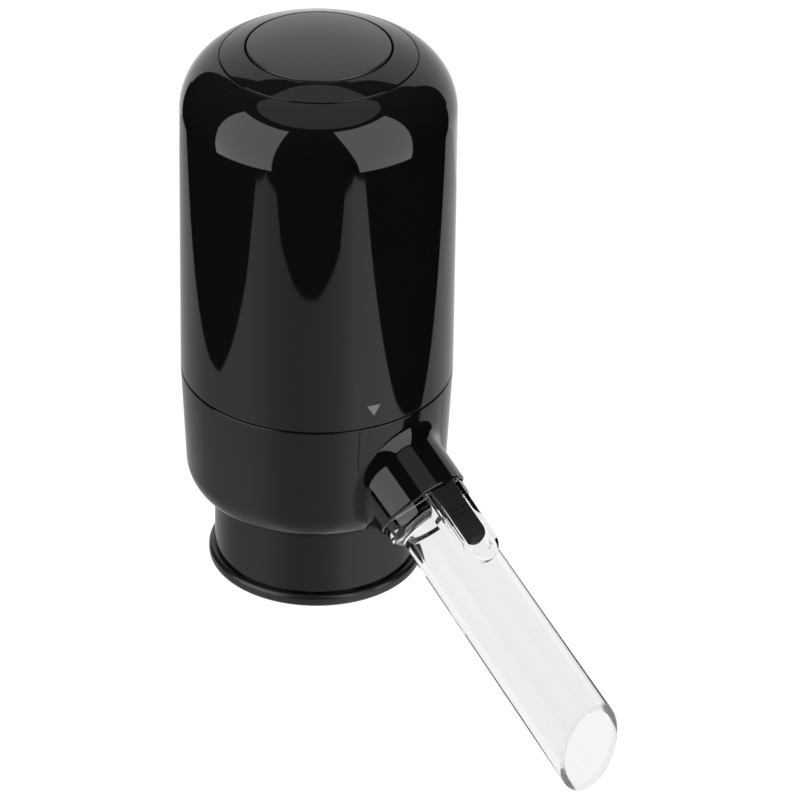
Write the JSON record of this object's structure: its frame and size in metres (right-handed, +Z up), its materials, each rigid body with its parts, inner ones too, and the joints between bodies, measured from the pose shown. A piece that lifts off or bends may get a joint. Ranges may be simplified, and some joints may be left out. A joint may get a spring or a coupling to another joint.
{
  "type": "electric wine aerator",
  "caption": "Gloss black electric wine aerator that plugs over a bottle neck: domed push-button head, twist-off base and clear slanted pouring spout with a sliding lock.",
  "frame": {"origin": "centre of the mouth that takes the bottle neck, on the lip's bottom plane", "axes": "+Z up along the body to the push button, -Y towards the spout, +X to the right seen from behind the spout's tip looking at the body"},
  "size_m": [0.064, 0.1251, 0.1608],
  "materials": {
    "gloss_black": "piano black, mirror gloss",
    "satin_black": "fine satin moulded plastic",
    "black_rubber": "smooth soft rubber",
    "clear_plastic": "clear polished plastic",
    "mark_grey": "grey inlay",
    "screw_steel": "bright steel",
    "motor_can": "plated steel can",
    "silicone": "translucent silicone",
    "milky_plastic": "natural moulded plastic",
    "cell_wrap": "shrink wrap",
    "board_green": "solder mask"
  },
  "bodies": {
    "base": {"lower_housing": "gloss_black", "spout_block": "gloss_black", "neck_collar": "gloss_black", "lip_ring": "black_rubber", "bottle_seal": "black_rubber", "mouth_gasket": "silicone", "collar_nut": "satin_black", "wine_manifold": "milky_plastic", "wine_elbow": "silicone", "air_bridge": "milky_plastic", "air_cup_ring": "black_rubber", "twist_ring": "satin_black", "twist_ring_screws": "screw_steel", "manifold_screws": "screw_steel"},
    "head": {"upper_housing": "gloss_black", "top_ring": "gloss_black", "index_mark": "mark_grey", "base_plate": "satin_black", "base_plate_screws": "screw_steel", "chassis": "satin_black", "chassis_screws": "screw_steel", "battery_cell": "cell_wrap", "control_board": "board_green", "board_screws": "screw_steel", "charge_port": "screw_steel", "switch_board": "board_green", "switch_body": "satin_black", "air_hose": "silicone", "pump_cover": "satin_black", "valve_plate": "milky_plastic", "diaphragm": "black_rubber", "pump_frame": "satin_black", "pump_screws": "screw_steel", "pump_motor": "motor_can", "motor_sleeve": "black_rubber", "button_spring": "screw_steel"},
    "button": {"button_cap": "satin_black", "button_carrier": "satin_black"},
    "plunger": {"switch_plunger": "milky_plastic"},
    "crank": {"crank_shaft": "screw_steel"},
    "wobble": {"wobble_plate": "milky_plastic"},
    "spout": {"spout_tube": "clear_plastic", "spout_ring": "black_rubber"},
    "lock": {"spout_lock": "satin_black"}
  },
  "joints": [
    {"name": "head_twist", "type": "hinge", "parent": "base", "child": "head", "pos_m": [0, 0, 0.0523], "axis": [0, 0, 1], "range_deg": [0, 30]},
    {"name": "button_press", "type": "slide", "parent": "head", "child": "button", "axis": [0, 0, -1], "range_m": [0, 0.001], "stiffness_N_per_m": 1500, "springref_m": -0.0005, "deforming": ["button_spring"]},
    {"name": "plunger_press", "type": "slide", "parent": "head", "child": "plunger", "axis": [0, 0, -1], "range_m": [0, 0.001]},
    {"name": "crank_spin", "type": "hinge", "parent": "head", "child": "crank", "pos_m": [0.012, 0, 0.0867], "axis": [0, 0, 1], "continuous": true},
    {"name": "wobble_spin", "type": "hinge", "parent": "crank", "child": "wobble", "pos_m": [0.012, 0, 0.0812], "axis": [0.0872, 0, 0.9962], "continuous": true},
    {"name": "spout_pull", "type": "slide", "parent": "base", "child": "spout", "axis": [0, -0.8192, -0.5736], "range_m": [0, 0.01]},
    {"name": "lock_slide", "type": "slide", "parent": "spout", "child": "lock", "axis": [0, -0.8192, -0.5736], "range_m": [0, 0.0025]}
  ],
  "couplings": [
    {"joint": "plunger_press", "follows": "button_press", "ratio": 1},
    {"joint": "wobble_spin", "follows": "crank_spin", "ratio": -1}
  ]
}
